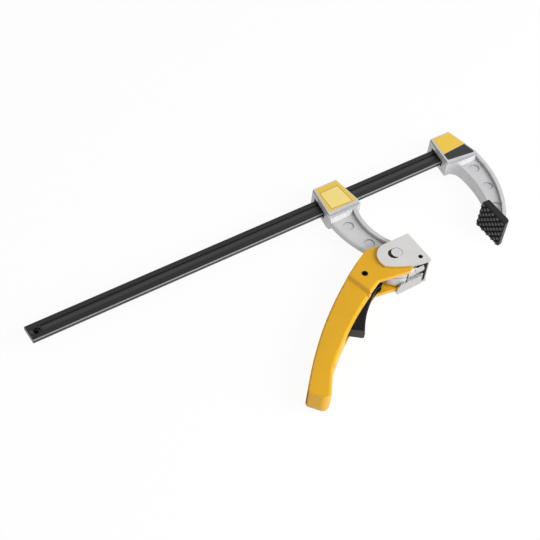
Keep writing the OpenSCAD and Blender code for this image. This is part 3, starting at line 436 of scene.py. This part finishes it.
def makeFloor():
    deselect()
    bpy.ops.mesh.primitive_plane_add(size=studio["floorSize"], location=(0, 0, -studio["floorDrop"]))
    floor = bpy.context.object
    floor.name = "floor"
    look = bpy.data.materials.new("floorPaper")
    look.use_nodes = True
    tree = look.node_tree
    tree.nodes.clear()
    matt = tree.nodes.new("ShaderNodeBsdfDiffuse")
    matt.inputs["Color"].default_value = (studio["floorGrey"],) * 3 + (1,)
    glow = tree.nodes.new("ShaderNodeEmission")
    glow.inputs["Strength"].default_value = 1.0
    blend = tree.nodes.new("ShaderNodeMixShader")
    tree.links.new((seenRays(tree) * studio["floorGlow"]).socket, blend.inputs[0])
    tree.links.new(matt.outputs[0], blend.inputs[1])
    tree.links.new(glow.outputs[0], blend.inputs[2])
    tree.links.new(blend.outputs[0], tree.nodes.new("ShaderNodeOutputMaterial").inputs["Surface"])
    floor.data.materials.append(look)


def makeSky():
    world = bpy.data.worlds.new("sky")
    bpy.context.scene.world = world
    world.use_nodes = True
    tree = world.node_tree
    shade = next(n for n in tree.nodes if n.type == "BACKGROUND")
    strength = seenRays(tree) * (1 - studio["sky"]) + studio["sky"]
    tree.links.new(strength.socket, shade.inputs["Strength"])
    shade.inputs["Color"].default_value = (1, 1, 1, 1)


def makeLamps():
    for name, how in lamps.items():
        data = bpy.data.lights.new(name, "AREA")
        data.shape = "RECTANGLE"
        data.size, data.size_y = how["size"]
        data.energy = how["power"]
        lamp = bpy.data.objects.new(name, data)
        bpy.context.scene.collection.objects.link(lamp)
        lamp.location = how["spot"]
        lamp.rotation_euler = (Vector(how["aim"]) - Vector(how["spot"])).to_track_quat("-Z", "Y").to_euler()
        lamp.visible_glossy = name == mirroredLamp


makeFloor()
makeSky()
makeLamps()
bpy.context.scene.view_settings.view_transform = "Standard"
print("camera, floor and light set")

# cast, forged and moulded bodies with softened edges

softEdges = {
    "fixed_jaw": {"name": "fixedJawCasting", "width": 0.7, "steps": 3},
    "sliding_jaw": {"name": "slidingJawCasting", "width": 0.7, "steps": 3},
    "lever": {"name": "leverBody", "width": 0.9, "steps": 3},
    "trigger": {"name": "triggerMoulding", "width": 0.5, "steps": 2},
    "pressing_bracket": {"name": "pressingHeadBracket", "width": 0.3, "steps": 2},
    "pressure_block": {"name": "pressureBlockBody", "width": 0.5, "steps": 2},
    "head_shoe": {"name": "headShoeMoulding", "width": 0.3, "steps": 2},
    "fixed_pad": {"name": "knobbedPad", "width": 0.18, "steps": 1},
    "front_guide": {"name": "frontGuideRing", "width": 0.25, "steps": 2},
    "rear_guide": {"name": "rearGuideRing", "width": 0.25, "steps": 2},
    "fixed_mouth_liner": {"name": "mouthLinerRing", "width": 0.25, "steps": 2},
    "fixed_label": {"name": "fixedJawLabel", "width": 0.15, "steps": 2},
    "sliding_label": {"name": "slidingJawLabel", "width": 0.15, "steps": 2},
    "pawl": {"name": "pawlPlate", "width": 0.15, "steps": 2},
    "ratchet_sector": {"name": "toothedSector", "width": 0.1, "steps": 1},
}


def finished(piece, node, look=None, body=None):
    piece.data.materials.clear()
    piece.data.materials.append(look or lookOf(node))
    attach(piece, body or bodyOf[node])
    return piece


def rounded(piece, width, steps, sharp=28):
    # the rounded edges take the turn and the broad faces between them stay flat
    bpy.ops.object.shade_smooth_by_angle(angle=math.radians(sharp))
    rounding = piece.modifiers.new("rounding", "BEVEL")
    rounding.width = width * mm
    rounding.segments = steps
    rounding.limit_method = "ANGLE"
    rounding.angle_limit = math.radians(sharp)
    rounding.harden_normals = True
    bpy.ops.object.modifier_apply(modifier="rounding")


def keepSlopes(piece, least=8, upright=0.85):
    # a gentle slope in a broad face keeps its own light
    tops = {}
    for face in piece.data.polygons:
        if abs(face.normal.z) > upright:
            for edge in face.edge_keys:
                tops.setdefault(edge, []).append(face.normal.copy())
    turning = {edge for edge, ways in tops.items()
               if len(ways) == 2 and ways[0].angle(ways[1]) > math.radians(least)}
    for edge in piece.data.edges:
        if edge.key in turning:
            edge.use_edge_sharp = True


def softenedCopy(node, name, width, steps):
    deselect()
    piece = bpy.data.objects.new(name, nodes[node].data.copy())
    bpy.context.scene.collection.objects.link(piece)
    bpy.context.view_layer.objects.active = piece
    piece.select_set(True)
    if piece.data.has_custom_normals:
        bpy.ops.mesh.customdata_custom_splitnormals_clear()
    bpy.ops.object.mode_set(mode="EDIT")
    bpy.ops.mesh.select_all(action="SELECT")
    bpy.ops.mesh.remove_doubles(threshold=2e-6)
    bpy.ops.mesh.dissolve_limited(angle_limit=math.radians(0.3))
    bpy.ops.object.mode_set(mode="OBJECT")
    rounded(piece, width, steps)
    keepSlopes(piece)
    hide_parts(node)
    return finished(piece, node)


for node, how in softEdges.items():
    made = softenedCopy(node, **how)
    print("softened", how["name"], len(made.data.polygons), "faces")

# the bar, with its pressed groove


def pick(piece, test, kind="FACE"):
    # leaves edit mode on with the faces, or the edges, that pass the test selected
    bpy.ops.object.mode_set(mode="EDIT")
    bpy.ops.mesh.select_mode(type=kind)
    bpy.ops.mesh.select_all(action="DESELECT")
    bpy.ops.object.mode_set(mode="OBJECT")
    spots = [v.co for v in piece.data.vertices]
    if kind == "FACE":
        for face in piece.data.polygons:
            face.select = test((face.center - barStart) / mm, face.normal)
    else:
        for edge in piece.data.edges:
            edge.select = test(*[(spots[v] - barStart) / mm for v in edge.vertices])
    bpy.ops.object.mode_set(mode="EDIT")


def near(value, wanted, gap=0.01):
    return abs(value - wanted) < gap


def groovedBar():
    shape = barShape
    deselect()
    bpy.ops.mesh.primitive_cube_add(size=1, location=atBar(shape["length"] / 2, 0),
                                    scale=[shape[k] * mm for k in ("length", "width", "thick")])
    bar = bpy.context.object
    bar.name = "groovedBar"
    bpy.ops.object.transform_apply(location=True, rotation=True, scale=True)
    half, top = shape["grooveHalf"], shape["thick"] / 2
    rows = [half * (2 * k / shape["strips"] - 1) for k in range(shape["strips"] + 1)]
    cuts = [((x, 0), (1, 0, 0)) for x in (shape["grooveFrom"], shape["grooveTo"])]
    cuts += [((0, y), (0, 1, 0)) for y in rows]
    bpy.ops.object.mode_set(mode="EDIT")
    for spot, way in cuts:
        bpy.ops.mesh.select_all(action="SELECT")
        bpy.ops.mesh.bisect(plane_co=atBar(*spot), plane_no=way)
    for up in (1, -1):
        def onFloor(centre, normal):
            inGroove = abs(centre.y) < half and shape["grooveFrom"] < centre.x < shape["grooveTo"]
            return inGroove and normal.z * up > 0.9
        pick(bar, onFloor)
        bpy.ops.mesh.extrude_region_move(TRANSFORM_OT_translate={"value": (0, 0, -up * shape["wall"] * mm)})
        for row in rows[1:-1]:
            def onRow(*ends):
                return all(near(end.y, row) and near(end.z, up * (top - shape["wall"])) for end in ends)
            pick(bar, onRow, "EDGE")
            bpy.ops.transform.translate(value=(0, 0, -up * shape["hollow"] * (1 - (row / half) ** 2) * mm))
    for up, radius in ((1, shape["edge"]), (-1, shape["lowerEdge"])):
        def longEdge(first, second):
            return (near(first.y, second.y) and near(abs(first.y), shape["width"] / 2)
                    and near(first.z, up * top) and near(second.z, up * top))
        pick(bar, longEdge, "EDGE")
        bpy.ops.mesh.bevel(offset=radius * mm, segments=shape["edgeSteps"], affect="EDGES")
    bpy.ops.object.mode_set(mode="OBJECT")

    deselect()
    height = top - shape["dentDepth"] + shape["cutter"] / 2
    bpy.ops.mesh.primitive_cylinder_add(vertices=48, radius=shape["dentRadius"] * mm,
                                        depth=shape["cutter"] * mm, location=atBar(*shape["dentAt"], height))
    cutter = bpy.context.object
    bpy.context.view_layer.objects.active = bar
    dent = bar.modifiers.new("dent", "BOOLEAN")
    dent.object = cutter
    dent.solver = "EXACT"
    bpy.ops.object.modifier_apply(modifier="dent")
    bpy.data.objects.remove(cutter)
    deselect()
    bar.select_set(True)
    rounded(bar, shape["rim"], 2, 35)
    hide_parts("bar")
    return finished(bar, "bar")


print("bar", len(groovedBar().data.polygons), "faces")

# pins, drilled or dimpled at both ends

pins = {
    "main_pin": {"name": "mainPin", "radius": 6, "bore": 2.2, "depth": 0.5, "chamfer": 0.6},
    "trigger_pin": {"name": "triggerRollPin", "radius": 3.5, "bore": 2.1, "depth": 6, "chamfer": 0.35},
    "head_pin": {"name": "headRollPin", "radius": 2.5, "bore": 1.2, "depth": 6, "chamfer": 0.3},
    "bar_stop_pin": {"name": "stopPin", "radius": 2, "bore": 1.0, "depth": 3, "chamfer": 0.35},
}


def turnedPin(node, name, radius, bore, depth, chamfer, look=None):
    low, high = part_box(node)
    deselect()
    bpy.ops.mesh.primitive_cylinder_add(vertices=64, radius=radius * mm, depth=high.z - low.z,
                                        location=(low + high) / 2)
    pin = bpy.context.object
    pin.name = name
    bpy.ops.object.transform_apply(location=True, rotation=True, scale=True)
    for up in (1, -1):
        pick(pin, lambda centre, normal: normal.z * up > 0.9)
        bpy.ops.mesh.inset(thickness=(radius - bore) * mm)
        bpy.ops.mesh.inset(thickness=0.001 * mm)
        bpy.ops.transform.translate(value=(0, 0, -up * depth * mm))
    bpy.ops.object.mode_set(mode="OBJECT")
    rounded(pin, chamfer, 2, 40)
    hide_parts(node)
    return finished(pin, node, look)


for node, how in pins.items():
    turnedPin(node, **how, look=materials["black_steel"] if node == "bar_stop_pin" else None)
print("pins:", len(pins))

# friction rings between the lever's ears and the head's plates

ringShape = {"inner": 6.1, "outer": 10.6, "from": 14.02, "thick": 0.3}


def frictionRings():
    shape = ringShape
    for up in (1, -1):
        deselect()
        spot = atBar(mainPin.x, mainPin.y, up * (shape["from"] + shape["thick"] / 2))
        bpy.ops.mesh.primitive_cylinder_add(vertices=72, radius=shape["outer"] * mm,
                                            depth=shape["thick"] * mm, location=spot)
        ring = bpy.context.object
        ring.name = "frictionRingTop" if up > 0 else "frictionRingBottom"
        bpy.ops.object.transform_apply(location=True, rotation=True, scale=True)
        pick(ring, lambda centre, normal: abs(normal.z) > 0.9)
        bpy.ops.mesh.inset(thickness=(shape["outer"] - shape["inner"]) * mm, use_individual=True)
        bpy.ops.mesh.bridge_edge_loops()
        bpy.ops.object.mode_set(mode="OBJECT")
        bpy.ops.object.shade_smooth_by_angle(angle=math.radians(40))
        finished(ring, "head_pin", body="sliding_arm")


frictionRings()

# coil springs

springs = {
    "return_spring": {"name": "returnSpringCoil", "along": "x", "wire": 0.9, "turns": 13},
    "trigger_spring": {"name": "triggerSpringCoil", "along": "z", "wire": 1.2, "turns": 3.5},
}
stepsPerTurn = 28


def coiledSpring(node, name, along, wire, turns):
    low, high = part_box(node)
    size = high - low
    outer = size.y / 2
    length = (size.x if along == "x" else size.z) - wire * mm
    deselect()
    start = (outer - wire / 2 * mm, 0, -length / 2)
    bpy.ops.mesh.primitive_circle_add(vertices=10, radius=wire / 2 * mm, location=start,
                                      rotation=(math.pi / 2, 0, 0))
    coil = bpy.context.object
    coil.name = name
    bpy.ops.object.transform_apply(location=True, rotation=True, scale=True)
    wind = coil.modifiers.new("wind", "SCREW")
    wind.angle = 2 * math.pi * turns
    wind.screw_offset = length
    wind.steps = wind.render_steps = int(stepsPerTurn * turns)
    wind.use_smooth_shade = True
    bpy.ops.object.modifier_apply(modifier="wind")
    bpy.ops.object.mode_set(mode="EDIT")
    bpy.ops.mesh.select_all(action="SELECT")
    bpy.ops.mesh.fill_holes(sides=0)
    bpy.ops.mesh.normals_make_consistent(inside=False)
    bpy.ops.object.mode_set(mode="OBJECT")
    coil.location = (low + high) / 2
    if along == "x":
        coil.rotation_euler = (0, math.pi / 2, 0)
    bpy.ops.object.transform_apply(location=True, rotation=True, scale=True)
    bpy.ops.object.shade_smooth_by_angle(angle=math.radians(60))
    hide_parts(node)
    return finished(coil, node)


for node, how in springs.items():
    print("coiled", how["name"], len(coiledSpring(node, **how).data.polygons), "faces")
